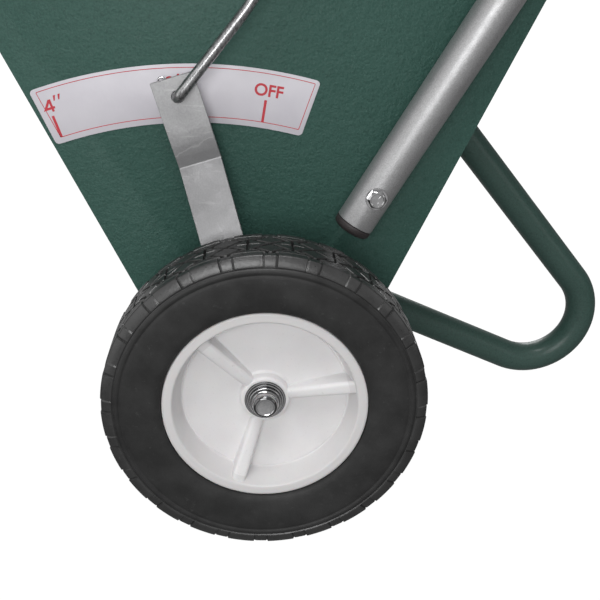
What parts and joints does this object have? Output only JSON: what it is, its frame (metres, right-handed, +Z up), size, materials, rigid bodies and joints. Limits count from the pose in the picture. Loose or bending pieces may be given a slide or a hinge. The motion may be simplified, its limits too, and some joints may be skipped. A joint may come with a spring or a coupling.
{
  "type": "dry line marker",
  "caption": "Walk-behind dry line marker: V-shaped lidded steel hopper on two wheels with rear stand, push handle, agitator and lever-worked outlet gate.",
  "frame": {"origin": "on the ground, at the centre of the bounding box's bottom", "axes": "+Z up, +X rearward towards the operator, +Y to the machine's right, along the axle"},
  "size_m": [0.7428, 0.488, 0.9474],
  "materials": {
    "green_paint": "satin green enamel",
    "silver_paint": "satin silver paint",
    "zinc_steel": "zinc plated",
    "bare_steel": "bare steel",
    "chrome": "bright plated",
    "rubber": "moulded rubber",
    "white_plastic": "moulded",
    "nylon": "moulded",
    "black_plastic": "moulded",
    "label_film": "printed vinyl film"
  },
  "bodies": {
    "frame": {"control_pivot_bolt": "zinc_steel", "control_pivot_nut": "zinc_steel", "control_pivot_washer": "zinc_steel", "cross_brace": "silver_paint", "handle_grip": "rubber", "hinge_leaf_hopper": "zinc_steel", "hinge_pin": "zinc_steel", "hopper_shell": "green_paint", "left_axle_bushing": "nylon", "left_axle_spacer": "zinc_steel", "left_baffle": "green_paint", "left_handle_tube": "silver_paint", "left_joint_bolt": "zinc_steel", "left_joint_nut": "zinc_steel", "left_lower_handle_bolt": "zinc_steel", "left_lower_handle_nut": "zinc_steel", "left_side_plate": "green_paint", "left_tube_plug": "black_plastic", "left_upper_handle_bolt": "zinc_steel", "left_upper_handle_nut": "zinc_steel", "right_axle_bushing": "nylon", "right_axle_spacer": "zinc_steel", "right_baffle": "green_paint", "right_handle_tube": "silver_paint", "right_joint_bolt": "zinc_steel", "right_joint_nut": "zinc_steel", "right_lower_handle_bolt": "zinc_steel", "right_lower_handle_nut": "zinc_steel", "right_side_plate": "green_paint", "right_tube_plug": "black_plastic", "right_upper_handle_bolt": "zinc_steel", "right_upper_handle_nut": "zinc_steel", "scale_label": "label_film", "stand_tube": "green_paint", "upper_handle": "silver_paint"},
    "axle_set": {"axle_shaft": "bare_steel", "drive_pin": "zinc_steel", "agitator": "bare_steel", "right_wheel_hub": "white_plastic", "right_tyre": "rubber", "right_axle_cap": "chrome", "right_axle_washer": "chrome", "left_axle_cap": "chrome", "left_axle_washer": "chrome"},
    "left_wheel": {"left_wheel_hub": "white_plastic", "left_tyre": "rubber"},
    "gate": {"gate_plate": "zinc_steel", "shutoff_lever": "zinc_steel", "gate_hanger": "zinc_steel", "left_gate_rivet": "zinc_steel", "right_gate_rivet": "zinc_steel"},
    "rod": {"control_rod": "zinc_steel", "lower_cotter_pin": "chrome", "upper_cotter_pin": "chrome"},
    "hand_lever": {"control_lever": "zinc_steel", "lever_grip": "black_plastic"},
    "lid": {"lid_panel": "green_paint", "lid_knob": "black_plastic", "hinge_leaf_lid": "zinc_steel"}
  },
  "joints": [
    {"name": "drive_axle", "type": "hinge", "parent": "frame", "child": "axle_set", "pos_m": [-0.14682, 0, 0.1016], "axis": [0, 1, 0], "continuous": true},
    {"name": "left_wheel_spin", "type": "hinge", "parent": "frame", "child": "left_wheel", "pos_m": [-0.14682, -0.2218, 0.1016], "axis": [0, 1, 0], "continuous": true},
    {"name": "gate_swing", "type": "hinge", "parent": "frame", "child": "gate", "pos_m": [-0.14682, 0, 0.1016], "axis": [0, 1, 0], "range_deg": [-23.6, 17.5]},
    {"name": "rod_pivot", "type": "hinge", "parent": "gate", "child": "rod", "pos_m": [-0.19905, -0.163, 0.27907], "axis": [0, 1, 0], "range_deg": [-17.5, 23.6]},
    {"name": "hand_lever_swing", "type": "hinge", "parent": "frame", "child": "hand_lever", "pos_m": [0.15555, -0.181, 0.59957], "axis": [0, 1, 0], "range_deg": [-23.6, 17.5]},
    {"name": "lid_hinge", "type": "hinge", "parent": "frame", "child": "lid", "pos_m": [-0.36835, 0, 0.4025], "axis": [0, 1, 0], "range_deg": [-105, 0]}
  ],
  "couplings": [
    {"joint": "rod_pivot", "follows": "gate_swing", "ratio": -1},
    {"joint": "hand_lever_swing", "follows": "gate_swing", "ratio": 1}
  ]
}
